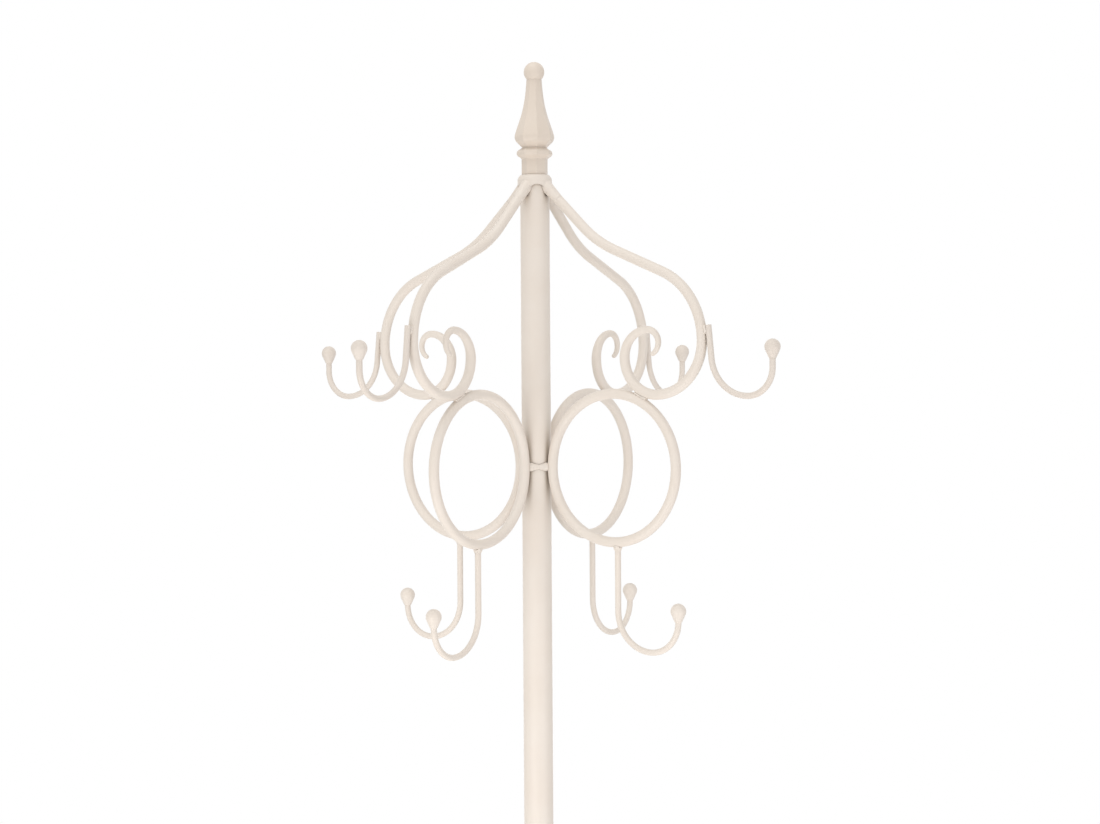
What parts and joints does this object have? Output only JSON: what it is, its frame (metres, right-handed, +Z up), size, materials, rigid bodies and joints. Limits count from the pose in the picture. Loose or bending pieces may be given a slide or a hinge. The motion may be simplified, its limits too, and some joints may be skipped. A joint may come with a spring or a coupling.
{
  "type": "coat stand with umbrella holder",
  "caption": "Free-standing steel coat stand: tube post with scroll arms, ball-ended hooks and rings under a finial, an umbrella hoop, and a lift-out drip tray between scroll legs.",
  "frame": {"origin": "on the floor, under the middle of the post", "axes": "+Z up along the post; the arms point along +X, +Y, -X and -Y"},
  "size_m": [0.574, 0.574, 1.85],
  "materials": {
    "cream_paint": "satin cream powder coat",
    "bare_steel": "turned, zinc plated",
    "pad_rubber": "matt"
  },
  "bodies": {
    "stand": {"arm_collar": "cream_paint", "coupling_nut": "bare_steel", "coupling_plug": "bare_steel", "coupling_stud": "bare_steel", "finial": "cream_paint", "finial_stud": "bare_steel", "foot_pad_1": "pad_rubber", "foot_pad_2": "pad_rubber", "foot_pad_3": "pad_rubber", "foot_pad_4": "pad_rubber", "foot_plug": "bare_steel", "hoop_spoke_1": "cream_paint", "hoop_spoke_2": "cream_paint", "hoop_spoke_3": "cream_paint", "hoop_spoke_4": "cream_paint", "hoop_welds": "cream_paint", "leg_1": "cream_paint", "leg_2": "cream_paint", "leg_3": "cream_paint", "leg_4": "cream_paint", "leg_welds": "cream_paint", "lower_hook_1": "cream_paint", "lower_hook_2": "cream_paint", "lower_hook_3": "cream_paint", "lower_hook_4": "cream_paint", "lower_hook_welds": "cream_paint", "lower_knob_1": "cream_paint", "lower_knob_2": "cream_paint", "lower_knob_3": "cream_paint", "lower_knob_4": "cream_paint", "lower_post": "cream_paint", "ring_1": "cream_paint", "ring_2": "cream_paint", "ring_3": "cream_paint", "ring_4": "cream_paint", "ring_arm_welds": "cream_paint", "ring_post_welds": "cream_paint", "scroll_arm_1": "cream_paint", "scroll_arm_2": "cream_paint", "scroll_arm_3": "cream_paint", "scroll_arm_4": "cream_paint", "strut_welds": "cream_paint", "top_plug": "bare_steel", "tray_ring": "cream_paint", "tray_strut_1": "cream_paint", "tray_strut_2": "cream_paint", "tray_strut_3": "cream_paint", "tray_strut_4": "cream_paint", "umbrella_hoop": "cream_paint", "upper_hook_1": "cream_paint", "upper_hook_2": "cream_paint", "upper_hook_3": "cream_paint", "upper_hook_4": "cream_paint", "upper_hook_welds": "cream_paint", "upper_knob_1": "cream_paint", "upper_knob_2": "cream_paint", "upper_knob_3": "cream_paint", "upper_knob_4": "cream_paint", "upper_post": "cream_paint"},
    "tray": {"drip_tray": "cream_paint"}
  },
  "joints": [
    {"name": "tray_lift", "type": "slide", "parent": "stand", "child": "tray", "axis": [0, 0, 1], "range_m": [0, 0.1]}
  ]
}
